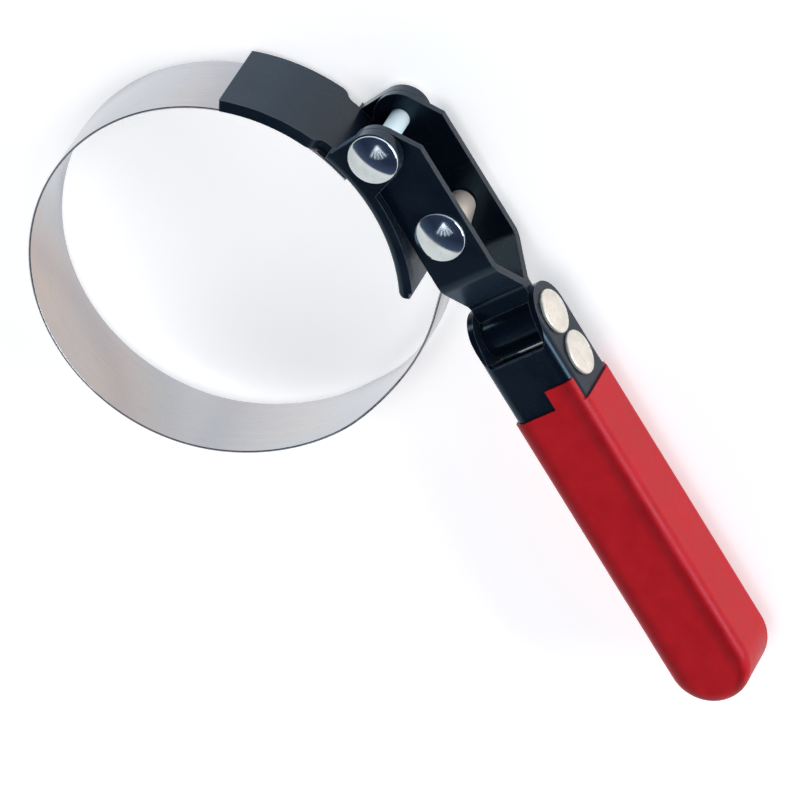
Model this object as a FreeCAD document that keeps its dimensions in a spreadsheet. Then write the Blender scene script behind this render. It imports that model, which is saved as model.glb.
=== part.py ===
import FreeCAD, Part
import math
import os
import Sketcher
from FreeCAD import Placement, Rotation, Vector

# Oil filter wrench: a steel band drawn tight round a filter by a pivoting yoke, with a handle
# that swivels on the yoke. Millimetres. The origin is the middle of the band's circle. X runs
# towards the handle's end, Y from the filter towards the yoke, Z is the filter's own axis.

os.makedirs("parts", exist_ok=True)
doc = FreeCAD.newDocument("FilterWrench")

SIZES = {
    # band
    "band_radius": 46.0,
    "band_thickness": 0.6,
    "band_width": 25.0,
    "band_seam_angle": 102.0,
    "bulge_radius": 55.8,
    "bulge_angle": -30.0,
    "band_neck_width": 15.6,
    "band_neck_x": 28.0,
    "band_shoulder_x": 40.0,
    "band_shoulder_radius": 14.0,
    "eye_radius": 3.0,
    "eye_wrap_angle": 315.0,
    "eye_tail_length": 7.0,
    "band_split_gap": 0.4,
    # clip
    "clip_thickness": 3.0,
    "clip_width": 27.2,
    "clip_tail_angle": 61.3,
    "clip_end_angle": 145.5,
    "clip_corner_radius": 0.5,
    "clip_bend_radius": 2.0,
    "clip_hole_radius": 3.2,
    "clip_hole_angle": 88.0,
    "ear_gap": 21.2,
    "ear_radius": 6.6,
    "ear_base_angle": 111.0,
    "ear_foot_angle": 93.5,
    "flange_height": 0.9,
    "flange_end_angle": 63.0,
    "notch_angle": 114.5,
    "notch_length": 5.9,
    "notch_slope": 4.1,
    "notch_depth": 2.5,
    # pins
    "pivot_x": -11.9,
    "pivot_y": 55.3,
    "anchor_x": 13.5,
    "anchor_y": 57.9,
    "swivel_x": 45.2,
    "shank_radius": 2.5,
    "running_fit": 0.08,
    "head_radius": 6.25,
    "head_height": 2.1,
    "swivel_shank_radius": 3.5,
    "swivel_head_radius": 5.65,
    "swivel_head_height": 1.9,
    "head_rim": 0.8,
    # yoke
    "yoke_thickness": 2.0,
    "yoke_gap": 16.7,
    "yoke_width": 15.8,
    "lobe_radius": 6.6,
    "yoke_corner_x": -8.5,
    "joggle_start_x": 26.5,
    "joggle_end_x": 35.5,
    "yoke_bend_radius": 2.5,
    "yoke_fork_radius": 0.5,
    "yoke_end_x": 46.2,
    "knuckle_radius": 5.6,
    "leg_gap": 0.2,
    # handle
    "channel_half_width": 9.8,
    "channel_front": 9.8,
    "channel_back": 8.4,
    "channel_wall": 1.7,
    "channel_bend_radius": 2.7,
    "channel_inner_bend": 1.0,
    "channel_end_x": 149.8,
    "channel_ear_radius": 8.0,
    "web_edge_x": 49.7,
    "web_corner_radius": 1.2,
    "wall_step_x": 62.0,
    "wall_deep_x": 70.0,
    "tie_spacing": 12.0,
    "spacer_radius": 5.85,
    # grip
    "grip_half_width": 10.5,
    "grip_rim_x": 65.0,
    "grip_side_rim_x": 65.7,
    "grip_end_x": 150.5,
    "grip_edge_radius": 3.2,
    "tab_x": 59.6,
    "tab_inner_y": 2.0,
    "tab_outer_y": 9.5,
    "tab_depth": 4.5,
}

sheet = doc.addObject("Spreadsheet::Sheet", "Sizes")
for row, (alias, size) in enumerate(SIZES.items(), start=1):
    sheet.set("A%d" % row, alias)
    sheet.set("B%d" % row, str(size))
    sheet.setAlias("B%d" % row, alias)
doc.recompute()

TOP = 1.0
BOTTOM = -1.0
# cutting shapes reach this far past what they cut, a little or well clear
PAST = 1.0
BEYOND = 20.0


def size(alias):
    """A size as a number, read from the sheet."""
    return float(sheet.get(alias))


def polar(radius, degrees, centre=(0.0, 0.0)):
    """The point at this radius and angle from a centre."""
    angle = math.radians(degrees)
    return (centre[0] + radius * math.cos(angle), centre[1] + radius * math.sin(angle))


# ---------------------------------------------------------------- sketch helpers

def line(start, end):
    return Part.LineSegment(Vector(start[0], start[1], 0), Vector(end[0], end[1], 0))


def arc(centre, radius, start, end):
    """An arc drawn anticlockwise between two angles in degrees."""
    circle = Part.Circle(Vector(centre[0], centre[1], 0), Vector(0, 0, 1), radius)
    return Part.ArcOfCircle(circle, math.radians(start), math.radians(end))


def rounded_loop(corners):
    """Lines and arcs of a closed outline; each corner is (x, y, radius)."""
    legs = []
    count = len(corners)
    for index in range(count):
        before = Vector(*corners[index - 1][:2], 0)
        here = Vector(*corners[index][:2], 0)
        after = Vector(*corners[(index + 1) % count][:2], 0)
        radius = corners[index][2]
        into = (here - before).normalize()
        out = (after - here).normalize()
        turn = math.atan2(into.x * out.y - into.y * out.x, into.dot(out))
        setback = radius * abs(math.tan(turn / 2))
        entry = here - into * setback
        leave = here + out * setback
        legs.append((entry, leave, radius, into, turn))
    pieces = []
    for index in range(count):
        entry, leave, radius, into, turn = legs[index]
        if radius > 0:
            side = math.copysign(1.0, turn)
            centre = entry + Vector(-into.y, into.x, 0) * radius * side
            first = math.degrees(math.atan2(entry.y - centre.y, entry.x - centre.x))
            last = math.degrees(math.atan2(leave.y - centre.y, leave.x - centre.x))
            if side < 0:
                first, last = last, first
            if last < first:
                last += 360.0
            pieces.append(arc((centre.x, centre.y), radius, first, last))
        following = legs[(index + 1) % count]
        pieces.append(Part.LineSegment(leave, following[0]))
    return pieces


def plane_of(body, role):
    """One of the body's own origin planes."""
    for feature in body.Origin.OriginFeatures:
        if feature.Role == role:
            return feature
    raise ValueError(role)


def new_sketch(body, name, role, offset=None):
    sketch = body.newObject("Sketcher::SketchObject", name)
    sketch.AttachmentSupport = [(plane_of(body, role), "")]
    sketch.MapMode = "FlatFace"
    if offset is not None:
        sketch.AttachmentOffset = offset
    return sketch


def draw(sketch, pieces):
    """Add a closed loop of lines and arcs and join each end to the next one."""
    first = sketch.GeometryCount
    sketch.addGeometry(pieces, False)
    count = len(pieces)
    for index in range(count):
        following = (index + 1) % count
        gaps = []
        for mine, my_end in ((1, pieces[index].StartPoint), (2, pieces[index].EndPoint)):
            for other, its_end in ((1, pieces[following].StartPoint),
                                   (2, pieces[following].EndPoint)):
                gaps.append((my_end.distanceToPoint(its_end), mine, other))
        mine, other = min(gaps)[1:]
        sketch.addConstraint(Sketcher.Constraint(
            "Coincident", first + index, mine, first + following, other))


def bind_radius(sketch, index, expression):
    """Tie the radius of an arc or circle in the sketch to the sheet."""
    radius = sketch.Geometry[index].Radius
    number = sketch.addConstraint(Sketcher.Constraint("Radius", index, radius))
    sketch.setExpression("Constraints[%d]" % number, expression)


def add_circle(sketch, centre, expression, radius):
    """A round hole's circle, its centre fixed from the origin and its radius on the sheet."""
    index = sketch.addGeometry(
        Part.Circle(Vector(centre[0], centre[1], 0), Vector(0, 0, 1), radius), False)
    bind_radius(sketch, index, expression)


# ---------------------------------------------------------------- feature helpers

def new_body(label, base=None):
    """A body named for its piece, placed by expressions for x, y and z."""
    body = doc.addObject("PartDesign::Body", label)
    body.Label = label
    for axis, expression in zip("xyz", base or ()):
        body.setExpression("Placement.Base." + axis, expression)
    return body


def pad(body, sketch, expression, symmetric=True):
    feature = body.newObject("PartDesign::Pad", sketch.Name + "_pad")
    feature.Profile = sketch
    feature.Midplane = symmetric
    feature.setExpression("Length", expression)
    sketch.Visibility = False
    doc.recompute()


def pocket(body, sketch, expression=None, symmetric=False):
    """Cut a sketch away: by a length on the sheet, or right through when none is given."""
    feature = body.newObject("PartDesign::Pocket", sketch.Name + "_pocket")
    feature.Profile = sketch
    feature.Midplane = symmetric
    if expression is None:
        feature.Type = "ThroughAll"
    else:
        feature.setExpression("Length", expression)
    sketch.Visibility = False
    before = body.Shape.Volume
    doc.recompute()
    if body.Shape.Volume >= before - 1e-6:
        raise ValueError("nothing was cut by " + feature.Name)


def fillet(body, name, expression, chosen):
    """Round the edges of the body that the chosen test picks out."""
    base = body.Tip
    names = []
    for number, edge in enumerate(base.Shape.Edges, start=1):
        if chosen(edge):
            names.append("Edge%d" % number)
    if not names:
        raise ValueError("no edges for " + name)
    feature = body.newObject("PartDesign::Fillet", name)
    feature.Base = (base, names)
    feature.setExpression("Radius", expression)
    doc.recompute()


def middle(edge):
    """The point half way along an edge."""
    return edge.valueAt((edge.FirstParameter + edge.LastParameter) / 2)


SWIVEL_POINT = ("Sizes.swivel_x", "Sizes.anchor_y", "0")
# edges across a block's end or a corner are shorter than this along X
SHORT_EDGE = 5.0


# ---------------------------------------------------------------- band

def bulge_centre():
    """The bulge is a wider arc that leaves the band's circle without a corner."""
    return polar(size("band_radius") - size("bulge_radius"), size("bulge_angle"))


def straight_run():
    """Angle at which the bulge turns straight, and the straight's length to the eye."""
    centre = bulge_centre()
    across = size("anchor_x") - centre[0]
    along = size("anchor_y") - centre[1]
    distance = math.hypot(across, along)
    drop = size("bulge_radius") - size("eye_radius")
    lean = math.degrees(math.acos(drop / distance))
    angle = math.degrees(math.atan2(along, across)) - lean
    return angle, math.sqrt(distance ** 2 - drop ** 2)


def make_strap_band():
    body = new_body("strap_band")
    sketch = new_sketch(body, "band_outline", "XY_Plane")
    angle, run = straight_run()
    run -= size("eye_tail_length") + size("band_split_gap")
    heading = polar(run, angle + 90.0)
    centre = bulge_centre()
    inner, bulge = size("band_radius"), size("bulge_radius")
    thick = size("band_thickness")
    seam, leave = size("band_seam_angle"), size("bulge_angle")
    inner_turn = polar(bulge, angle, centre)
    outer_turn = polar(bulge + thick, angle, centre)
    inner_tip = (inner_turn[0] + heading[0], inner_turn[1] + heading[1])
    outer_tip = (outer_turn[0] + heading[0], outer_turn[1] + heading[1])
    draw(sketch, [
        arc((0, 0), inner, seam, leave + 360.0),
        arc(centre, bulge, leave, angle),
        line(inner_turn, inner_tip),
        line(inner_tip, outer_tip),
        line(outer_tip, outer_turn),
        arc(centre, bulge + thick, leave, angle),
        arc((0, 0), inner + thick, seam, leave + 360.0),
        line(polar(inner + thick, seam), polar(inner, seam)),
    ])
    bind_radius(sketch, 0, "Sizes.band_radius")
    bind_radius(sketch, 6, "Sizes.band_radius + Sizes.band_thickness")
    pad(body, sketch, "Sizes.band_width")

    # the band narrows in a smooth shoulder before it passes between the yoke's plates
    sketch = new_sketch(body, "band_shoulders", "XZ_Plane")
    neck, full = size("band_neck_width") / 2, size("band_width") / 2
    round_off = size("band_shoulder_radius")
    for side in (TOP, BOTTOM):
        draw(sketch, rounded_loop([
            (PAST, side * neck, 0),
            (size("band_neck_x"), side * neck, round_off),
            (size("band_shoulder_x"), side * full, round_off),
            (size("bulge_radius"), side * full, 0),
            (size("bulge_radius"), side * (full + PAST), 0),
            (PAST, side * (full + PAST), 0),
        ]))
    pocket(body, sketch)
    return body


def make_strap_eye():
    """The band's free end: a short tail rolled into an eye on the anchor rivet."""
    body = new_body("strap_eye", ("Sizes.anchor_x", "Sizes.anchor_y", "0"))
    sketch = new_sketch(body, "eye_outline", "XY_Plane")
    angle = straight_run()[0]
    inner = size("eye_radius")
    outer = inner + size("band_thickness")
    back = polar(size("eye_tail_length"), angle - 90.0)
    inner_turn, outer_turn = polar(inner, angle), polar(outer, angle)
    inner_tail = (inner_turn[0] + back[0], inner_turn[1] + back[1])
    outer_tail = (outer_turn[0] + back[0], outer_turn[1] + back[1])
    last = angle + size("eye_wrap_angle")
    draw(sketch, [
        arc((0, 0), inner, angle, last),
        line(polar(inner, last), polar(outer, last)),
        arc((0, 0), outer, angle, last),
        line(outer_turn, outer_tail),
        line(outer_tail, inner_tail),
        line(inner_tail, inner_turn),
    ])
    bind_radius(sketch, 0, "Sizes.eye_radius")
    bind_radius(sketch, 2, "Sizes.eye_radius + Sizes.band_thickness")
    pad(body, sketch, "Sizes.band_neck_width")
    return body


# ---------------------------------------------------------------- clip

def around(degrees):
    """Turns a sketch on the XZ plane about Z so that it faces out at this angle."""
    return Placement(Vector(0, 0, 0), Rotation(Vector(0, 1, 0), degrees - 90.0))


def tangent_point(point, centre, radius, side):
    """Where a line from a point touches a circle, on the side that is asked for."""
    across, along = centre[0] - point[0], centre[1] - point[1]
    towards = math.degrees(math.atan2(along, across))
    spread = math.degrees(math.asin(radius / math.hypot(across, along)))
    return polar(radius, towards + side * (spread + 90.0), centre)


def clip_saddle_pad(body):
    inner = size("band_radius") + size("band_thickness")
    outer = inner + size("clip_thickness")
    tail, end = size("clip_tail_angle"), size("clip_end_angle")
    sketch = new_sketch(body, "saddle_outline", "XY_Plane")
    draw(sketch, [
        arc((0, 0), inner, tail, end),
        line(polar(inner, end), polar(outer, end)),
        arc((0, 0), outer, tail, end),
        line(polar(outer, tail), polar(inner, tail)),
    ])
    bind_radius(sketch, 0, "Sizes.band_radius + Sizes.band_thickness")
    bind_radius(sketch, 2,
                "Sizes.band_radius + Sizes.band_thickness + Sizes.clip_thickness")
    pad(body, sketch, "Sizes.clip_width")
    return outer


def clip_ears(body, outer):
    """The ears and the low flange stand up from the saddle's two long edges."""
    pin = (size("pivot_x"), size("pivot_y"))
    radius = size("ear_radius")
    rooted = outer - size("clip_thickness") / 2
    top = outer + size("flange_height")
    base_angle, foot_angle = size("ear_base_angle"), size("ear_foot_angle")
    end_angle = size("flange_end_angle")
    base = polar(rooted, base_angle)
    foot = polar(top, foot_angle)
    left = tangent_point(base, pin, radius, 1.0)
    right = tangent_point(foot, pin, radius, -1.0)
    left_angle = math.degrees(math.atan2(left[1] - pin[1], left[0] - pin[0])) % 360.0
    right_angle = math.degrees(math.atan2(right[1] - pin[1], right[0] - pin[0]))
    sketch = new_sketch(body, "ear_outline", "XY_Plane")
    draw(sketch, [
        line(base, left),
        arc(pin, radius, right_angle, left_angle),
        line(right, foot),
        arc((0, 0), top, end_angle, foot_angle),
        line(polar(top, end_angle), polar(rooted, end_angle)),
        arc((0, 0), rooted, end_angle, base_angle),
    ])
    bind_radius(sketch, 1, "Sizes.ear_radius")
    pad(body, sketch, "Sizes.clip_width")

    # the room between the ears is cut as a fan that is wider than the clip at both ends
    first, last = size("clip_tail_angle") - PAST, size("clip_end_angle")
    peak = polar(2 * outer, (first + last) / 2)
    sketch = new_sketch(body, "ear_room", "XY_Plane")
    draw(sketch, [
        arc((0, 0), outer, first, last),
        line(polar(outer, last), polar(outer + BEYOND, last)),
        line(polar(outer + BEYOND, last), peak),
        line(peak, polar(outer + BEYOND, first)),
        line(polar(outer + BEYOND, first), polar(outer, first)),
    ])
    pocket(body, sketch, "Sizes.ear_gap", symmetric=True)


def clip_notches(body):
    """Relief cuts in both long edges, so that the ears could be bent up."""
    length, slope, depth = size("notch_length"), size("notch_slope"), size("notch_depth")
    edge = size("clip_width") / 2
    bend = (slope ** 2 + depth ** 2) / (4 * depth)
    sweep = math.degrees(math.asin(slope / (2 * bend)))
    start = -length / 2
    sketch = new_sketch(body, "notch_outline", "XZ_Plane", around(size("notch_angle")))
    for side in (TOP, BOTTOM):
        crest = (start, side * (edge - bend))
        trough = (start + slope, side * (edge - depth + bend))
        if side == TOP:
            first, second = arc(crest, bend, 90 - sweep, 90), arc(trough, bend, 270 - sweep, 270)
        else:
            first, second = arc(crest, bend, 270, 270 + sweep), arc(trough, bend, 90, 90 + sweep)
        shelf = (start + slope, side * (edge - depth))
        draw(sketch, [
            first,
            second,
            line(shelf, (start + length, side * (edge - depth))),
            line((start + length, side * (edge - depth)), (start + length, side * (edge + PAST))),
            line((start + length, side * (edge + PAST)), (start, side * (edge + PAST))),
            line((start, side * (edge + PAST)), (start, side * edge)),
        ])
    pocket(body, sketch)


def clip_holes(body):
    sketch = new_sketch(body, "tooling_hole", "XZ_Plane", around(size("clip_hole_angle")))
    add_circle(sketch, (0, 0), "Sizes.clip_hole_radius", size("clip_hole_radius"))
    pocket(body, sketch)
    sketch = new_sketch(body, "pivot_hole", "XY_Plane")
    add_circle(sketch, (size("pivot_x"), size("pivot_y")), "Sizes.shank_radius",
               size("shank_radius"))
    pocket(body, sketch, "Sizes.clip_width * 2", symmetric=True)


def make_clip_saddle():
    body = new_body("clip_saddle")
    outer = clip_saddle_pad(body)
    clip_ears(body, outer)
    edge = size("clip_width") / 2
    end_angles = (size("clip_tail_angle"), size("clip_end_angle"))

    def is_corner(item):
        point = middle(item)
        angle = math.degrees(math.atan2(point.y, point.x))
        return (abs(abs(point.z) - edge) < 1e-4 and item.Length < size("clip_thickness") + 0.1
                and min(abs(angle - end) for end in end_angles) < 0.01)

    fillet(body, "saddle_corners", "Sizes.clip_corner_radius", is_corner)
    clip_notches(body)

    def is_bend(item):
        point = middle(item)
        radius = math.hypot(point.x, point.y)
        inner = size("band_radius") + size("band_thickness")
        angle = math.degrees(math.atan2(point.y, point.x))
        return (abs(abs(point.z) - edge) < 1e-4 and abs(radius - inner) < 1e-3
                and item.Length > BEYOND and angle < size("ear_base_angle"))

    fillet(body, "ear_bends", "Sizes.clip_bend_radius", is_bend)
    clip_holes(body)
    return body


# ---------------------------------------------------------------- yoke

def yoke_plan():
    """The yoke seen along the filter's axis, from the swivel: lobe, corner and long edges."""
    swivel = (size("swivel_x"), size("anchor_y"))
    pin = (size("pivot_x") - swivel[0], size("pivot_y") - swivel[1])
    radius, half = size("lobe_radius"), size("yoke_width") / 2
    corner = (size("yoke_corner_x") - swivel[0], half)
    touch = tangent_point(corner, pin, radius, -1.0)
    first = math.degrees(math.atan2(touch[1] - pin[1], touch[0] - pin[0]))
    drop = (-half - pin[1]) / radius
    last = 360.0 + math.degrees(math.asin(drop))
    foot = polar(radius, last, pin)
    end = size("yoke_end_x") - swivel[0]
    return [
        arc(pin, radius, first, last),
        line(foot, (end, -half)),
        line((end, -half), (end, half)),
        line((end, half), corner),
        line(corner, touch),
    ]


def yoke_side_loop():
    """The folded strip seen from its edge: plates, joggles and the two legs of the neck."""
    swivel_x = size("swivel_x")
    thick, bend = size("yoke_thickness"), size("yoke_bend_radius")
    inner, outer = size("yoke_gap") / 2, size("yoke_gap") / 2 + thick
    start, end = size("joggle_start_x") - swivel_x, size("joggle_end_x") - swivel_x
    far = size("pivot_x") - size("lobe_radius") - swivel_x - PAST
    slope = math.atan2(outer - thick, end - start)
    shift = thick * math.tan(slope / 2)
    inner_start = start - shift
    apex = inner_start + inner / math.tan(slope)
    return [
        (far, outer, 0),
        (start, outer, bend + thick),
        (end, thick, bend),
        (0, thick, 0),
        (0, -thick, 0),
        (end, -thick, bend),
        (start, -outer, bend + thick),
        (far, -outer, 0),
        (far, -inner, 0),
        (inner_start, -inner, bend),
        (apex, 0, size("yoke_fork_radius")),
        (inner_start, inner, bend),
        (far, inner, 0),
    ], apex


def make_yoke():
    body = new_body("yoke", SWIVEL_POINT)
    sketch = new_sketch(body, "yoke_side", "XZ_Plane")
    loop, apex = yoke_side_loop()
    draw(sketch, rounded_loop(loop))
    pad(body, sketch, "Sizes.yoke_width + 2 * Sizes.lobe_radius")

    sketch = new_sketch(body, "yoke_plan", "XY_Plane")
    left, right, reach = -2 * size("swivel_x"), BEYOND, 2 * BEYOND
    draw(sketch, rounded_loop([
        (left, -reach, 0), (right, -reach, 0), (right, reach, 0), (left, reach, 0)]))
    draw(sketch, yoke_plan())
    pocket(body, sketch, "Sizes.yoke_gap * 2", symmetric=True)

    sketch = new_sketch(body, "knuckle", "XZ_Plane")
    add_circle(sketch, (0, 0), "Sizes.knuckle_radius", size("knuckle_radius"))
    pad(body, sketch, "Sizes.yoke_width")

    sketch = new_sketch(body, "knuckle_bore", "XZ_Plane")
    add_circle(sketch, (0, 0), "Sizes.swivel_shank_radius + Sizes.running_fit",
               size("swivel_shank_radius") + size("running_fit"))
    pocket(body, sketch, "Sizes.yoke_width * 2", symmetric=True)

    sketch = new_sketch(body, "leg_seam", "XZ_Plane")
    half, fork = size("leg_gap") / 2, apex - 2 * PAST
    draw(sketch, rounded_loop([
        (fork, -half, 0), (-size("swivel_shank_radius"), -half, 0),
        (-size("swivel_shank_radius"), half, 0), (fork, half, 0)]))
    pocket(body, sketch, "Sizes.yoke_width * 2", symmetric=True)

    sketch = new_sketch(body, "pin_holes", "XY_Plane")
    add_circle(sketch, (size("pivot_x") - size("swivel_x"), size("pivot_y") - size("anchor_y")),
               "Sizes.shank_radius + Sizes.running_fit",
               size("shank_radius") + size("running_fit"))
    add_circle(sketch, (size("anchor_x") - size("swivel_x"), 0), "Sizes.shank_radius",
               size("shank_radius"))
    pocket(body, sketch, "Sizes.yoke_gap * 2", symmetric=True)
    return body


# ---------------------------------------------------------------- rivets

def make_rivet(label, base, plane, grip, shank_radius, head_radius, head_height):
    """A rivet closed at both ends: a shank and two low domed heads, turned about its axis.

    The plane's second axis is the rivet's axis; grip is the length between the heads."""
    body = new_body(label, base)
    sketch = new_sketch(body, label + "_profile", plane)
    shank, rim = size(shank_radius), size("head_rim")
    wide, high = size(head_radius), size(head_height)
    half = grip / 2
    rise = high - rim
    dome = (wide ** 2 + rise ** 2) / (2 * rise)
    spread = math.degrees(math.asin(wide / dome))
    draw(sketch, [
        line((0, -half - high), (0, half + high)),
        arc((0, half + high - dome), dome, 90 - spread, 90),
        line((wide, half + rim), (wide, half)),
        line((wide, half), (shank, half)),
        line((shank, half), (shank, -half)),
        line((shank, -half), (wide, -half)),
        line((wide, -half), (wide, -half - rim)),
        arc((0, -half - high + dome), dome, 270, 270 + spread),
    ])
    reach = sketch.addConstraint(Sketcher.Constraint("DistanceX", -1, 1, 3, 2, shank))
    sketch.setExpression("Constraints[%d]" % reach, "Sizes." + shank_radius)
    feature = body.newObject("PartDesign::Revolution", label + "_turned")
    feature.Profile = sketch
    feature.ReferenceAxis = (sketch, ["V_Axis"])
    feature.Angle = 360.0
    sketch.Visibility = False
    doc.recompute()
    return body


# ---------------------------------------------------------------- handle

def bullet_block(body, name, start, end, half, low, height):
    """A block with one square end and one half-round end, pointing along X.

    Its height is an expression on the sheet."""
    sketch = new_sketch(body, name, "XY_Plane", Placement(Vector(0, 0, low), Rotation()))
    turn = end - half
    draw(sketch, [
        line((start, -half), (turn, -half)),
        arc((turn, 0), half, -90, 90),
        line((turn, half), (start, half)),
        line((start, half), (start, -half)),
    ])
    pad(body, sketch, height, symmetric=False)


def round_long_edges(body, name, expression, levels):
    """Round the edges that run along the block at these heights, its round end included."""
    def is_long(item):
        point = middle(item)
        flat = abs(item.BoundBox.ZMax - item.BoundBox.ZMin) < 1e-4
        return (flat and min(abs(point.z - level) for level in levels) < 1e-4
                and item.BoundBox.XMax - item.BoundBox.XMin > SHORT_EDGE)

    fillet(body, name, expression, is_long)


def channel_outside(body):
    swivel_x = size("swivel_x")
    bullet_block(body, body.Name + "_block", -size("channel_ear_radius"),
                 size("channel_end_x") - swivel_x, size("channel_half_width"),
                 -size("channel_back"), "Sizes.channel_back + Sizes.channel_front")
    round_long_edges(body, body.Name + "_bends", "Sizes.channel_bend_radius",
                     (size("channel_front"),))


def make_handle_channel():
    body = new_body("handle_channel", SWIVEL_POINT)
    channel_outside(body)
    swivel_x, wall = size("swivel_x"), size("channel_wall")
    front, back = size("channel_front"), size("channel_back")
    half = size("channel_half_width") - wall
    turn = size("channel_end_x") - swivel_x - size("channel_half_width")

    sketch = new_sketch(body, "channel_room", "XY_Plane",
                        Placement(Vector(0, 0, front - wall), Rotation()))
    draw(sketch, [
        line((-BEYOND, -half), (turn, -half)),
        arc((turn, 0), half, -90, 90),
        line((turn, half), (-BEYOND, half)),
        line((-BEYOND, half), (-BEYOND, -half)),
    ])
    pocket(body, sketch)
    round_long_edges(body, "inside_bends", "Sizes.channel_inner_bend", (front - wall,))

    # side view of the walls: a round ear on the swivel, a straight edge up to the web
    radius = size("channel_ear_radius")
    web_corner = (size("web_edge_x") - swivel_x, front)
    touch = tangent_point(web_corner, (0, 0), radius, -1.0)
    first = math.degrees(math.atan2(touch[1], touch[0]))
    step, deep = size("wall_step_x") - swivel_x, size("wall_deep_x") - swivel_x
    sketch = new_sketch(body, "wall_outline", "XZ_Plane")
    draw(sketch, [
        line((web_corner[0], BEYOND), web_corner),
        line(web_corner, touch),
        arc((0, 0), radius, first, 270),
        line((0, -radius), (step, -radius)),
        line((step, -radius), (deep, -back)),
        line((deep, -back), (deep, -BEYOND)),
        line((deep, -BEYOND), (-BEYOND, -BEYOND)),
        line((-BEYOND, -BEYOND), (-BEYOND, BEYOND)),
        line((-BEYOND, BEYOND), (web_corner[0], BEYOND)),
    ])
    bind_radius(sketch, 2, "Sizes.channel_ear_radius")
    pocket(body, sketch, "Sizes.channel_half_width * 4", symmetric=True)

    # the web stops short of the swivel right across, so that the yoke's neck can turn up to it
    sketch = new_sketch(body, "web_end", "XY_Plane", Placement(Vector(0, 0, BEYOND), Rotation()))
    corner = size("web_corner_radius")
    draw(sketch, rounded_loop([
        (-BEYOND, -half, 0), (web_corner[0], -half, corner),
        (web_corner[0], half, corner), (-BEYOND, half, 0)]))
    pocket(body, sketch, "Sizes.channel_front * 2")

    sketch = new_sketch(body, "rivet_holes", "XZ_Plane")
    for place in (0, size("tie_spacing")):
        add_circle(sketch, (place, 0), "Sizes.swivel_shank_radius",
                   size("swivel_shank_radius"))
    pocket(body, sketch, "Sizes.channel_half_width * 4", symmetric=True)
    return body


def make_tie_spacer():
    """A plain tube on the second rivet that keeps the channel's walls apart."""
    outside = doc.addObject("Part::Cylinder", "spacer_outside")
    bore = doc.addObject("Part::Cylinder", "spacer_bore")
    length = "2 * (Sizes.channel_half_width - Sizes.channel_wall)"
    for tube, radius in ((outside, "Sizes.spacer_radius"),
                         (bore, "Sizes.swivel_shank_radius + Sizes.running_fit")):
        tube.setExpression("Radius", radius)
        tube.setExpression("Height", length)
        tube.Placement = Placement(Vector(0, 0, 0), Rotation(Vector(1, 0, 0), 90))
        tube.setExpression("Placement.Base.y", length + " / 2")
    cut = doc.addObject("Part::Cut", "tie_spacer")
    cut.Label = "tie_spacer"
    cut.Base = outside
    cut.Tool = bore
    cut.setExpression("Placement.Base.x", "Sizes.swivel_x + Sizes.tie_spacing")
    cut.setExpression("Placement.Base.y", "Sizes.anchor_y")
    doc.recompute()
    return cut


def make_grip_sleeve():
    """The sleeve is a thick-edged pocket of vinyl that fits closely over the channel."""
    swivel_x, half = size("swivel_x"), size("grip_half_width")
    outside = new_body("grip_outside", SWIVEL_POINT)
    start = size("tab_x") - swivel_x
    bullet_block(outside, "grip_block", start, size("grip_end_x") - swivel_x, half, -half,
                 "2 * Sizes.grip_half_width")
    round_long_edges(outside, "grip_edges", "Sizes.grip_edge_radius", (-half, half))

    # the rim is cut back everywhere but at the tab on the front
    rim, side_rim = size("grip_rim_x") - swivel_x, size("grip_side_rim_x") - swivel_x
    inner, outer = size("tab_inner_y"), size("tab_outer_y")
    sketch = new_sketch(outside, "rim_front", "XY_Plane")
    draw(sketch, rounded_loop([
        (start - PAST, -half - PAST, 0), (rim, -half - PAST, 0), (rim, inner, 0),
        (start - PAST, inner, 0)]))
    draw(sketch, rounded_loop([
        (start - PAST, outer, 0), (side_rim, outer, 0), (side_rim, half + PAST, 0),
        (start - PAST, half + PAST, 0)]))
    pocket(outside, sketch, "Sizes.grip_half_width * 4", symmetric=True)
    sketch = new_sketch(outside, "rim_back", "XZ_Plane")
    under_tab = half - size("tab_depth")
    draw(sketch, rounded_loop([
        (start - PAST, -half - PAST, 0), (rim, -half - PAST, 0), (rim, under_tab, 0),
        (start - PAST, under_tab, 0)]))
    pocket(outside, sketch, "Sizes.grip_half_width * 4", symmetric=True)

    core = new_body("grip_core", SWIVEL_POINT)
    channel_outside(core)
    sleeve = doc.addObject("Part::Cut", "grip_sleeve")
    sleeve.Label = "grip_sleeve"
    sleeve.Base = outside
    sleeve.Tool = core
    doc.recompute()
    return sleeve


# ---------------------------------------------------------------- build and write

clip_grip = size("clip_width")
yoke_grip = size("yoke_gap") + 2 * size("yoke_thickness")
channel_grip = 2 * size("channel_half_width")

pieces = [
    make_strap_band(),
    make_strap_eye(),
    make_clip_saddle(),
    make_yoke(),
    make_rivet("pivot_rivet", ("Sizes.pivot_x", "Sizes.pivot_y", "0"), "XZ_Plane",
               clip_grip, "shank_radius", "head_radius", "head_height"),
    make_rivet("anchor_rivet", ("Sizes.anchor_x", "Sizes.anchor_y", "0"), "XZ_Plane",
               yoke_grip, "shank_radius", "head_radius", "head_height"),
    make_rivet("swivel_rivet", SWIVEL_POINT, "XY_Plane",
               channel_grip, "swivel_shank_radius", "swivel_head_radius", "swivel_head_height"),
    make_rivet("tie_rivet", ("Sizes.swivel_x + Sizes.tie_spacing", "Sizes.anchor_y", "0"),
               "XY_Plane", channel_grip, "swivel_shank_radius", "swivel_head_radius",
               "swivel_head_height"),
    make_tie_spacer(),
    make_handle_channel(),
    make_grip_sleeve(),
]

doc.recompute()
for item in doc.Objects:
    bad = [state for state in item.State if state in ("Invalid", "Error")]
    if bad:
        raise ValueError("%s is %s" % (item.Name, bad))

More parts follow.
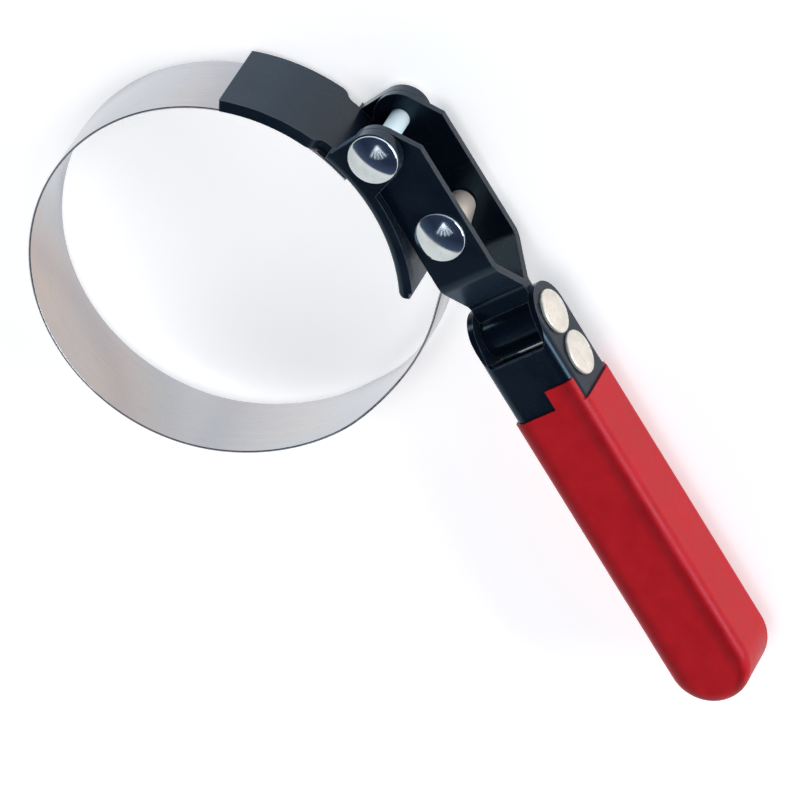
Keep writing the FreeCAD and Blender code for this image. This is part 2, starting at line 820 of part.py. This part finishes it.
for piece in pieces:
    shape = piece.Shape
    if shape.isNull() or not shape.isValid() or len(shape.Solids) != 1:
        raise ValueError("%s isn't one sound solid" % piece.Label)
    shape.exportStep("parts/%s.step" % piece.Label)
    box = shape.BoundBox
    print("%-15s %8.1f mm3  x %6.1f..%6.1f  y %6.1f..%6.1f  z %6.1f..%6.1f" % (
        piece.Label, shape.Volume, box.XMin, box.XMax, box.YMin, box.YMax, box.ZMin, box.ZMax))
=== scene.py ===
import math

import bmesh
import bpy
from mathutils import Matrix, Vector


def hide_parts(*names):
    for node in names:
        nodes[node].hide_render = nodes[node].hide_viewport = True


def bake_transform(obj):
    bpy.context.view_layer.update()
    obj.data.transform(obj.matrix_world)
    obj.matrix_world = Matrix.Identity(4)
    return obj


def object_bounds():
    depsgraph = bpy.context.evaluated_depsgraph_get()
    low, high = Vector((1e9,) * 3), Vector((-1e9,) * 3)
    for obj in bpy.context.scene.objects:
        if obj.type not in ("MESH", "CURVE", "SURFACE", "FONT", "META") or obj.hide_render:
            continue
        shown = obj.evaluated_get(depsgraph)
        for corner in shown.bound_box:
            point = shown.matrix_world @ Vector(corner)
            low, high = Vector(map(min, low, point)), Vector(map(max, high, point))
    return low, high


# Oil filter wrench: the looks of the steel band, the black clip, yoke and handle channel, the
# zinc rivets and the red vinyl grip. Metres, in the CAD's own frame.

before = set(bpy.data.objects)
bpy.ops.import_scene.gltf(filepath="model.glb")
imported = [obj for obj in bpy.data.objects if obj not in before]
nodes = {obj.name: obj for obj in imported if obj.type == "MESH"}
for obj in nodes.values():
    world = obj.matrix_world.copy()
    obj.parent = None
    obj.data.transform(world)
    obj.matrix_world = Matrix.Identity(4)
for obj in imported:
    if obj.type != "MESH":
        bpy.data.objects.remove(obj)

MM = 0.001

# the steel band, in millimetres and degrees; lengths run from its seam round to its eye
BAND_RADIUS = 46.0
BULGE_RADIUS = 55.8
EYE_RADIUS = 3.0
ANCHOR = Vector((13.5, 57.9))
SEAM_ANGLE = 102.0
BULGE_ANGLE = -30.0
EYE_WRAP = 315.0
THICKNESS = 0.6
FULL_HALF_WIDTH = 12.5
NECK_HALF_WIDTH = 7.8
SHOULDER_START = 215.0
SHOULDER_END = 236.0
EYE_START = 258.0
EYE_FULL = 268.0
EDGE_RADIUS = 0.18
# how far apart its cross-sections lie
CIRCLE_STEP = 1.6
BULGE_STEP = 1.4
EYE_STEP = 0.35
RUN_STEPS = 16
# the handle's middle line along X lies at this Y
HANDLE_MIDDLE = 57.9


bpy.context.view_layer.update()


# ---------------------------------------------------------------- material helpers

class Tree:
    """A small wrapper that makes a node material easy to read."""

    def __init__(self, name):
        self.material = bpy.data.materials.new(name)
        self.material.use_nodes = True
        self.nodes = self.material.node_tree.nodes
        self.links = self.material.node_tree.links
        self.shader = self.nodes["Principled BSDF"]

    def add(self, kind, **settings):
        node = self.nodes.new(kind)
        for key, value in settings.items():
            setattr(node, key, value)
        return node

    def plug(self, value, socket):
        """Join an output to a socket, or set the socket to a plain value."""
        if isinstance(value, bpy.types.NodeSocket):
            self.links.new(value, socket)
        else:
            socket.default_value = value

    def place(self, stretch=(1, 1, 1), coordinates="Object"):
        """Coordinates in metres on the piece, stretched along its axes."""
        source = self.add("ShaderNodeTexCoord")
        mapping = self.add("ShaderNodeMapping")
        mapping.inputs["Scale"].default_value = stretch
        self.links.new(source.outputs[coordinates], mapping.inputs["Vector"])
        return mapping.outputs["Vector"]

    def noise(self, where, scale, detail=3.0, roughness=0.5, distortion=0.0):
        node = self.add("ShaderNodeTexNoise")
        self.links.new(where, node.inputs["Vector"])
        node.inputs["Scale"].default_value = scale
        node.inputs["Detail"].default_value = detail
        node.inputs["Roughness"].default_value = roughness
        node.inputs["Distortion"].default_value = distortion
        return node.outputs["Fac"]

    def ramp(self, value, low, high, from_low=0.3, from_high=0.7):
        """Map a value smoothly from one range to another."""
        node = self.add("ShaderNodeMapRange", interpolation_type="SMOOTHSTEP")
        self.plug(value, node.inputs["Value"])
        node.inputs["From Min"].default_value = from_low
        node.inputs["From Max"].default_value = from_high
        node.inputs["To Min"].default_value = low
        node.inputs["To Max"].default_value = high
        return node.outputs["Result"]

    def math(self, operation, first, second=0.0):
        node = self.add("ShaderNodeMath", operation=operation)
        self.plug(first, node.inputs[0])
        self.plug(second, node.inputs[1])
        return node.outputs[0]

    def mix(self, factor, first, second):
        """Blend two colours."""
        node = self.add("ShaderNodeMix", data_type="RGBA")
        self.plug(factor, node.inputs["Factor"])
        self.plug(first, node.inputs["A"])
        self.plug(second, node.inputs["B"])
        return node.outputs["Result"]

    def bump(self, height, distance, strength=1.0, normal=None):
        node = self.add("ShaderNodeBump")
        node.inputs["Distance"].default_value = distance
        node.inputs["Strength"].default_value = strength
        self.links.new(height, node.inputs["Height"])
        if normal is not None:
            self.links.new(normal, node.inputs["Normal"])
        return node.outputs["Normal"]

    def edge_mask(self, radius, low, high):
        """One where the surface turns sharply within this radius, such as along a cut edge."""
        soft = self.add("ShaderNodeBevel", samples=6)
        soft.inputs["Radius"].default_value = radius
        plain = self.add("ShaderNodeNewGeometry")
        turn = self.add("ShaderNodeVectorMath", operation="DOT_PRODUCT")
        self.links.new(soft.outputs["Normal"], turn.inputs[0])
        self.links.new(plain.outputs["Normal"], turn.inputs[1])
        return self.ramp(turn.outputs["Value"], 1.0, 0.0, low, high)

    def part_of(self, vector, axis):
        """One of a vector's three numbers."""
        split = self.add("ShaderNodeSeparateXYZ")
        self.links.new(vector, split.inputs["Vector"])
        return split.outputs[axis]

    def facing(self, axis):
        """How far the surface faces either way along one axis of the piece, from 0 to 1."""
        normal = self.add("ShaderNodeTexCoord").outputs["Normal"]
        return self.math("ABSOLUTE", self.part_of(normal, axis))

    def set(self, **values):
        """Set the shader's own sockets; underscores stand for spaces."""
        for key, value in values.items():
            self.plug(value, self.shader.inputs[key.replace("_", " ")])


def rgb(red, green, blue):
    return (red, green, blue, 1.0)


# ---------------------------------------------------------------- materials

def black_paint():
    """Gloss black enamel over pressed steel: orange peel, faint dust, and a lighter grey along cut
    edges that is partly thin paint and partly a painted edge highlight.
    """
    tree = Tree("black_enamel")
    where = tree.place()
    peel = tree.noise(where, 900.0, 2.0)
    cloud = tree.noise(where, 60.0, 4.0, 0.6)
    speck = tree.noise(where, 2600.0, 1.0)
    edge = tree.edge_mask(0.35 * MM, 0.90, 0.995)
    # lighter grey along the cut edges: partly thin paint, partly a painted highlight where the edges
    # catch the light
    thin_paint_and_edge_highlight = tree.math("MULTIPLY", edge, tree.ramp(tree.noise(where, 420.0, 3.0), 0.35, 1.0))
    paint = tree.mix(cloud, rgb(0.0010, 0.0022, 0.0056), rgb(0.0020, 0.0036, 0.0082))
    dusty = tree.mix(tree.ramp(speck, 0.0, 0.04, 0.62, 0.78), paint, rgb(0.20, 0.21, 0.23))
    colour = tree.mix(tree.math("MULTIPLY", thin_paint_and_edge_highlight, 0.55), dusty, rgb(0.16, 0.17, 0.185))
    tree.set(
        Base_Color=colour,
        Roughness=tree.ramp(cloud, 0.20, 0.34),
        IOR=1.48,
        Specular_Tint=rgb(0.42, 0.74, 1.0),
        Coat_Weight=0.06,
        Coat_Roughness=0.10,
        Coat_Tint=rgb(0.8, 0.9, 1.0),
        Sheen_Weight=0.26,
        Sheen_Roughness=0.35,
        Sheen_Tint=rgb(0.34, 0.64, 1.0),
        Normal=tree.bump(peel, 0.05 * MM, 0.35),
    )
    return tree.material


def polished_zinc():
    """Bright zinc: the struck head mirrors sharply, the shank along the axis Z is duller and painted
    a paler bluish white than the head, a painted light on it.
    """
    tree = Tree("polished_zinc")
    where = tree.place()
    grain = tree.noise(where, 2400.0, 3.0, 0.6)
    bloom = tree.noise(where, 220.0, 4.0, 0.6)
    head = tree.ramp(tree.facing("Z"), 0.0, 1.0, 0.2, 0.6)
    tint = tree.mix(tree.ramp(bloom, 0.0, 1.0), rgb(0.80, 0.83, 0.84), rgb(0.70, 0.73, 0.73))
    stain = tree.ramp(tree.noise(where, 480.0, 3.0, 0.7, 0.6), 0.0, 0.35, 0.58, 0.75)
    polish = tree.ramp(bloom, 0.08, 0.14)
    struck = tree.mix(stain, tint, rgb(0.55, 0.54, 0.50))
    tree.set(
        # painted light: the shank, shaded between the plates, is given a paler bluish white than the
        # head so that it reads as lit
        Base_Color=tree.mix(head, rgb(0.78, 0.95, 1.0), struck),
        Metallic=tree.ramp(head, 0.15, 1.0, 0.0, 1.0),
        Roughness=tree.math("ADD", polish, tree.ramp(head, 0.3, 0.0, 0.0, 1.0)),
        Normal=tree.bump(grain, 0.02 * MM, 0.12),
    )
    return tree.material


def satin_zinc():
    """Handled, slightly creamy zinc on the swivel's rivets, with fine scuffs."""
    tree = Tree("satin_zinc")
    where = tree.place()
    grain = tree.noise(where, 1500.0, 4.0, 0.65)
    bloom = tree.noise(where, 300.0, 4.0, 0.6)
    scuff = tree.noise(tree.place((300.0, 300.0, 1600.0)), 1.0, 4.0, 0.65, 0.5)
    tint = tree.mix(tree.ramp(bloom, 0.0, 1.0), rgb(0.86, 0.83, 0.75), rgb(0.74, 0.71, 0.63))
    tree.set(
        Base_Color=tree.mix(tree.ramp(scuff, 0.0, 0.5, 0.55, 0.72), tint, rgb(0.52, 0.48, 0.40)),
        Metallic=0.55,
        Roughness=tree.ramp(bloom, 0.26, 0.42),
        Normal=tree.bump(grain, 0.03 * MM, 0.35),
    )
    return tree.material


def stainless_strip():
    """Rolled stainless strip: fine marks along its length, a faint tint, and a duller rolled eye
    painted a lighter beige, a painted light on it.
    """
    tree = Tree("stainless_strip")
    length = tree.part_of(tree.place((1, 1, 1), "UV"), "X")
    lines = tree.noise(tree.place((18.0, 4200.0, 1.0), "UV"), 1.0, 4.0, 0.65)
    broad = tree.noise(tree.place((26.0, 22.0, 1.0), "UV"), 1.0, 2.0)
    smear = tree.noise(tree.place((220.0, 260.0, 1.0), "UV"), 1.0, 4.0, 0.6, 0.4)
    eye = tree.ramp(length, 0.0, 1.0, EYE_START * MM, EYE_FULL * MM)
    tint = tree.mix(tree.ramp(broad, 0.0, 1.0, 0.35, 0.65),
                    rgb(0.66, 0.625, 0.605), rgb(0.60, 0.615, 0.64))
    tone = tree.mix(tree.ramp(lines, 0.0, 0.28), tint, rgb(0.44, 0.43, 0.42))
    smeared = tree.mix(tree.ramp(smear, 0.0, 0.25, 0.5, 0.8), tone, rgb(0.50, 0.48, 0.45))
    tree.set(
        # painted light: the eye, which mirrors the black plates around it, is given a lighter beige
        # and less metal so that it reads as lit
        Base_Color=tree.mix(eye, smeared, rgb(0.78, 0.70, 0.62)),
        Metallic=tree.ramp(eye, 1.0, 0.5, 0.0, 1.0),
        Roughness=tree.math("ADD", tree.ramp(lines, 0.20, 0.30), tree.math("MULTIPLY", eye, 0.15)),
        Anisotropic=0.45,
        Normal=tree.bump(tree.math("MULTIPLY", lines, tree.ramp(eye, 1.0, 0.0, 0.0, 1.0)),
                         0.008 * MM, 0.15),
    )
    return tree.material


def red_vinyl():
    """Dipped red vinyl: satin, slightly uneven skin with pinholes, and painted shade along its
    corners.
    """
    tree = Tree("red_vinyl")
    where = tree.place()
    skin = tree.noise(where, 1400.0, 3.0, 0.55)
    sag = tree.noise(where, 85.0, 2.0)
    cloud = tree.noise(where, 170.0, 4.0, 0.65)
    pin = tree.ramp(tree.noise(where, 3600.0, 0.0), 0.0, 1.0, 0.70, 0.80)
    deep = tree.mix(tree.ramp(cloud, 0.0, 1.0), rgb(0.405, 0.0050, 0.0085), rgb(0.465, 0.0065, 0.011))
    pinned = tree.mix(tree.math("MULTIPLY", pin, 0.5), deep, rgb(0.25, 0.006, 0.008))
    # painted shade: the rounded corners and the front face just beside them are darkened, a dark band
    # that stands in for shade along each corner
    lean = tree.facing("Y")
    shaded_rounding = tree.math("MULTIPLY", tree.ramp(lean, 0.0, 1.0, 0.04, 0.28),
                             tree.ramp(lean, 1.0, 0.0, 0.34, 0.62))
    across = tree.math("SUBTRACT", tree.part_of(where, "Y"), HANDLE_MIDDLE * MM)
    off_middle = tree.math("ABSOLUTE", across)
    shade_near_corner = tree.math("MULTIPLY", tree.ramp(off_middle, 0.0, 0.9, 4.6 * MM, 7.8 * MM),
                              tree.ramp(lean, 1.0, 0.0, 0.15, 0.45))
    corner_shade = tree.math("MAXIMUM", shaded_rounding, shade_near_corner)
    colour = tree.mix(tree.math("MULTIPLY", corner_shade, 0.55), pinned, rgb(0.15, 0.004, 0.006))
    rough = tree.math("ADD", tree.ramp(cloud, 0.33, 0.45), tree.ramp(skin, 0.0, 0.05))
    fine = tree.bump(skin, 0.03 * MM, 0.3)
    tree.set(
        Base_Color=colour,
        Roughness=rough,
        IOR=1.5,
        Specular_IOR_Level=0.26,
        Specular_Tint=rgb(1.0, 0.75, 1.0),
        Subsurface_Weight=0.06,
        Subsurface_Radius=(0.8, 0.15, 0.1),
        Subsurface_Scale=1.0 * MM,
        Normal=tree.bump(sag, 0.35 * MM, 0.25, fine),
    )
    return tree.material


def pale_floor():
    tree = Tree("pale_floor")
    where = tree.place()
    tone = tree.noise(where, 6.0, 3.0)
    tree.set(
        Base_Color=tree.mix(tone, rgb(0.94, 0.94, 0.94), rgb(0.96, 0.96, 0.96)),
        Roughness=tree.ramp(tone, 0.62, 0.72),
        Emission_Color=rgb(1.0, 1.0, 1.0),
        Emission_Strength=tree.ramp(tone, 0.36, 0.38),
        Normal=tree.bump(tree.noise(where, 900.0, 2.0), 0.05 * MM, 0.1),
    )
    return tree.material


# ---------------------------------------------------------------- CAD pieces

FINISH = {
    "black_paint": (black_paint(), ("clip_saddle", "yoke", "handle_channel", "tie_spacer")),
    "zinc_rivet": (polished_zinc(), ("pivot_rivet", "anchor_rivet")),
    "red_vinyl": (red_vinyl(), ("grip_sleeve",)),
}
SATIN_RIVETS = ("swivel_rivet", "tie_rivet")
EDGE_ROUNDING = {
    "clip_saddle": 0.35,
    "yoke": 0.3,
    "handle_channel": 0.3,
    "grip_sleeve": 0.25,
    "pivot_rivet": 0.25,
    "anchor_rivet": 0.25,
    "swivel_rivet": 0.25,
    "tie_rivet": 0.25,
    "tie_spacer": 0.2,
}


def round_edges(piece, width):
    """Every cut edge of a real stamping is a little round, so the sharp CAD edges are too."""
    weld = piece.modifiers.new("weld", "WELD")
    weld.merge_threshold = 0.002 * MM
    bevel = piece.modifiers.new("edges", "BEVEL")
    bevel.width = width * MM
    bevel.segments = 3
    bevel.limit_method = "ANGLE"
    bevel.angle_limit = math.radians(35)
    bevel.harden_normals = False
    normals = piece.modifiers.new("normals", "WEIGHTED_NORMAL")
    normals.keep_sharp = False
    normals.weight = 80


def finish_piece(name, material):
    nodes[name].data.materials.clear()
    nodes[name].data.materials.append(material)
    round_edges(nodes[name], EDGE_ROUNDING[name])


for slot_name, (material, names) in FINISH.items():
    for name in names:
        finish_piece(name, material)
satin = satin_zinc()
for name in SATIN_RIVETS:
    finish_piece(name, satin)


# ---------------------------------------------------------------- the steel band

def on_circle(radius, degrees, centre=Vector((0, 0))):
    angle = math.radians(degrees)
    return centre + Vector((math.cos(angle), math.sin(angle))) * radius


def arc_stations(centre, radius, first, last, step):
    """(point, outward direction) along an arc, every step millimetres or so."""
    count = max(2, round(math.radians(last - first) * radius / step))
    stations = []
    for index in range(count + 1):
        angle = first + (last - first) * index / count
        stations.append((on_circle(radius, angle, centre), on_circle(1.0, angle)))
    return stations


def band_stations():
    """The inner face of the band, from its welded seam right round to the end of its eye."""
    bulge_centre = on_circle(BAND_RADIUS - BULGE_RADIUS, BULGE_ANGLE)
    reach = ANCHOR - bulge_centre
    drop = BULGE_RADIUS - EYE_RADIUS
    lean = math.degrees(math.acos(drop / reach.length))
    turn = math.degrees(math.atan2(reach.y, reach.x)) - lean
    run = math.sqrt(reach.length ** 2 - drop ** 2)
    circle = arc_stations(Vector((0, 0)), BAND_RADIUS, SEAM_ANGLE, BULGE_ANGLE + 360.0,
                          CIRCLE_STEP)
    bulge = arc_stations(bulge_centre, BULGE_RADIUS, BULGE_ANGLE, turn, BULGE_STEP)
    heading = on_circle(1.0, turn + 90.0)
    start = bulge[-1][0]
    outward = on_circle(1.0, turn)
    straight = [(start + heading * run * step / RUN_STEPS, outward)
                for step in range(1, RUN_STEPS)]
    eye = arc_stations(ANCHOR, EYE_RADIUS, turn, turn + EYE_WRAP, EYE_STEP)
    return circle[:-1] + bulge + straight + eye


def half_width(travelled):
    """The band narrows in a smooth shoulder before it passes between the yoke's plates."""
    share = (travelled - SHOULDER_START) / (SHOULDER_END - SHOULDER_START)
    share = min(max(share, 0.0), 1.0)
    share = share * share * (3 - 2 * share)
    return FULL_HALF_WIDTH + (NECK_HALF_WIDTH - FULL_HALF_WIDTH) * share


def strip_section(half):
    """The strip's cross-section with rounded rims, as (through the thickness, along Z)."""
    corners = (
        (THICKNESS - EDGE_RADIUS, half - EDGE_RADIUS, 0),
        (EDGE_RADIUS, half - EDGE_RADIUS, 90),
        (EDGE_RADIUS, -half + EDGE_RADIUS, 180),
        (THICKNESS - EDGE_RADIUS, -half + EDGE_RADIUS, 270),
    )
    section = []
    for through, level, first in corners:
        for step in range(4):
            angle = math.radians(first + 30 * step)
            section.append((through + EDGE_RADIUS * math.cos(angle),
                            level + EDGE_RADIUS * math.sin(angle)))
    return section


def build_band():
    mesh = bmesh.new()
    uv_layer = mesh.loops.layers.uv.new("length_and_width")
    rings, lengths = [], []
    travelled, before = 0.0, None
    for point, outward in band_stations():
        if before is not None:
            travelled += (point - before).length
        before = point
        ring = []
        for through, level in strip_section(half_width(travelled)):
            place = point + outward * through
            ring.append(mesh.verts.new((place.x * MM, place.y * MM, level * MM)))
        rings.append(ring)
        lengths.append(travelled * MM)
    for index in range(len(rings) - 1):
        here, there = rings[index], rings[index + 1]
        for number in range(len(here)):
            after = (number + 1) % len(here)
            face = mesh.faces.new((here[number], here[after], there[after], there[number]))
            face.smooth = True
            spans = (lengths[index], lengths[index], lengths[index + 1], lengths[index + 1])
            for loop, length in zip(face.loops, spans):
                loop[uv_layer].uv = (length, loop.vert.co.z)
    for ring in (rings[0], rings[-1]):
        mesh.faces.new(ring)
    bmesh.ops.recalc_face_normals(mesh, faces=mesh.faces)
    data = bpy.data.meshes.new("steel_band")
    mesh.to_mesh(data)
    mesh.free()
    band = bpy.data.objects.new("steel_band", data)
    bpy.context.scene.collection.objects.link(band)
    data.materials.append(stainless_strip())
    return band


band = build_band()
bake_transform(band)
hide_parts("strap_band", "strap_eye")

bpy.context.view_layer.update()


# ---------------------------------------------------------------- floor, light and camera

LIGHT_TARGET = Vector((0.05, 0.02, 0))


def build_floor(level):
    """A pale ground that lies just under the wrench and isn't mirrored in its metal."""
    mesh = bmesh.new()
    reach = 8.0
    corners = [mesh.verts.new((x * reach, y * reach, level))
               for x, y in ((-1, -1), (1, -1), (1, 1), (-1, 1))]
    mesh.faces.new(corners)
    data = bpy.data.meshes.new("floor")
    mesh.to_mesh(data)
    mesh.free()
    floor = bpy.data.objects.new("floor", data)
    floor.visible_glossy = False
    bpy.context.scene.collection.objects.link(floor)
    data.materials.append(pale_floor())


def area_light(name, place, width, power, tint=(1, 1, 1), glossy=True):
    """A soft box aimed at the wrench; glossy says whether the metal mirrors it."""
    light = bpy.data.lights.new(name, "AREA")
    light.shape = "RECTANGLE"
    light.size = width[0]
    light.size_y = width[1]
    light.energy = power
    light.color = tint
    lamp = bpy.data.objects.new(name, light)
    lamp.location = place
    lamp.rotation_mode = "QUATERNION"
    lamp.rotation_quaternion = (LIGHT_TARGET - Vector(place)).to_track_quat("-Z", "Y")
    lamp.visible_camera = False
    lamp.visible_glossy = glossy
    bpy.context.scene.collection.objects.link(lamp)


def build_umbrella_ribs():
    """Thin bright lines that fan out overhead, seen only as a small fan in the rivet heads."""
    apex = Vector((-0.16, 0.02, 1.2))
    length = 0.50
    for degrees in (-57.0, -40.0, -23.0, -6.0, 11.0):
        angle = math.radians(degrees)
        light = bpy.data.lights.new("rib", "AREA")
        light.shape = "RECTANGLE"
        light.size = length
        light.size_y = 0.035
        light.energy = 0.085
        light.color = (0.80, 0.91, 1.0)
        lamp = bpy.data.objects.new("rib", light)
        lamp.location = apex + Vector((math.cos(angle), math.sin(angle), 0)) * length / 2
        lamp.rotation_euler = (0.0, 0.0, angle)
        lamp.visible_camera = False
        lamp.visible_diffuse = False
        bpy.context.scene.collection.objects.link(lamp)


def direction_ramp(tree, direction, aim, stops):
    """Colours that change with how far a direction lies along the aim, from -1 to 1."""
    along = tree.nodes.new("ShaderNodeVectorMath")
    along.operation = "DOT_PRODUCT"
    along.inputs[1].default_value = Vector(aim).normalized()
    spread = tree.nodes.new("ShaderNodeMapRange")
    spread.inputs["From Min"].default_value = -1.0
    ramp = tree.nodes.new("ShaderNodeValToRGB")
    tree.links.new(direction, along.inputs[0])
    tree.links.new(along.outputs["Value"], spread.inputs["Value"])
    tree.links.new(spread.outputs["Result"], ramp.inputs["Fac"])
    elements = ramp.color_ramp.elements
    elements[0].position, elements[0].color = (stops[0][0] + 1) / 2, (*stops[0][1], 1)
    elements[1].position, elements[1].color = (stops[-1][0] + 1) / 2, (*stops[-1][1], 1)
    for along_aim, colour in stops[1:-1]:
        elements.new((along_aim + 1) / 2).color = (*colour, 1)
    return ramp.outputs["Color"]


def build_world():
    """A white studio: grey below, bright walls, and a dark ceiling mirrored by the flat faces."""
    world = bpy.data.worlds.new("studio")
    bpy.context.scene.world = world
    world.use_nodes = True
    tree = world.node_tree
    direction = tree.nodes.new("ShaderNodeTexCoord").outputs["Generated"]
    # faint tints and greys pass across the low walls, and give the band its bands of tone
    below = direction_ramp(tree, direction, (0.5, 0.866, 0), (
        (-0.54, (1.00, 1.03, 1.07)),
        (-0.38, (0.94, 0.95, 0.99)),
        (-0.20, (0.72, 0.76, 0.84)),
        (-0.05, (0.84, 0.90, 0.98)),
        (0.12, (0.74, 0.77, 0.82)),
        (0.30, (0.86, 0.80, 0.78)),
        (0.42, (0.70, 0.64, 0.65)),
        (0.54, (0.88, 0.80, 0.77)),
    ))
    # overhead, all that lies towards +Y is a dark blue ceiling, and the rest is pale
    above = direction_ramp(tree, direction, (-0.37, 0.81, 0.45), (
        (-1.0, (0.80, 0.83, 0.86)),
        (-0.45, (0.72, 0.75, 0.76)),
        (-0.22, (0.80, 0.83, 0.83)),
        (-0.18, (0.05, 0.075, 0.14)),
        (0.2, (0.018, 0.028, 0.060)),
        (1.0, (0.035, 0.055, 0.115)),
    ))
    split = tree.nodes.new("ShaderNodeSeparateXYZ")
    horizon = tree.nodes.new("ShaderNodeMapRange")
    horizon.inputs["From Min"].default_value = -0.12
    horizon.inputs["From Max"].default_value = 0.02
    mix = tree.nodes.new("ShaderNodeMix")
    mix.data_type = "RGBA"
    tree.links.new(direction, split.inputs["Vector"])
    tree.links.new(split.outputs["Z"], horizon.inputs["Value"])
    tree.links.new(horizon.outputs["Result"], mix.inputs["Factor"])
    tree.links.new(below, mix.inputs["A"])
    tree.links.new(above, mix.inputs["B"])
    tree.links.new(mix.outputs["Result"], tree.nodes["Background"].inputs["Color"])
    tree.nodes["Background"].inputs["Strength"].default_value = 1.0


def build_camera():
    """A long lens well back, rolled as the wrench is held in the picture."""
    right = Vector((0.508, 0.813, -0.284))
    down = Vector((0.817, -0.350, 0.457))
    forward = right.cross(down)
    forward.normalize()
    right.normalize()
    down = forward.cross(right)
    distance = 3.0
    view_width = 192.8 * MM
    aim_right, aim_down = 41.42 * MM, 34.36 * MM
    aim = right * aim_right + down * aim_down
    camera = bpy.data.cameras.new("camera")
    camera.sensor_width = 36.0
    camera.lens = camera.sensor_width * distance / view_width
    camera.clip_start = 0.05
    camera.clip_end = 40.0
    rig = bpy.data.objects.new("camera", camera)
    basis = Matrix((right, -down, -forward)).transposed().to_4x4()
    rig.matrix_world = Matrix.Translation(aim - forward * distance) @ basis
    bpy.context.scene.collection.objects.link(rig)
    bpy.context.scene.camera = rig


low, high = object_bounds()
build_floor(low.z - 0.2 * MM)
build_world()
area_light("wall_light", (0.10, -0.80, 0.40), (1.2, 0.5), 2.5, (1.0, 0.99, 0.97), glossy=False)
area_light("side_light", (0.25, 0.95, 0.32), (0.9, 0.4), 8.0, (0.97, 0.985, 1.0))
area_light("top_light", (-0.1, 0.2, 1.2), (0.7, 0.7), 6.0, glossy=False)
build_umbrella_ribs()
build_camera()
bpy.context.scene.view_settings.view_transform = "Standard"
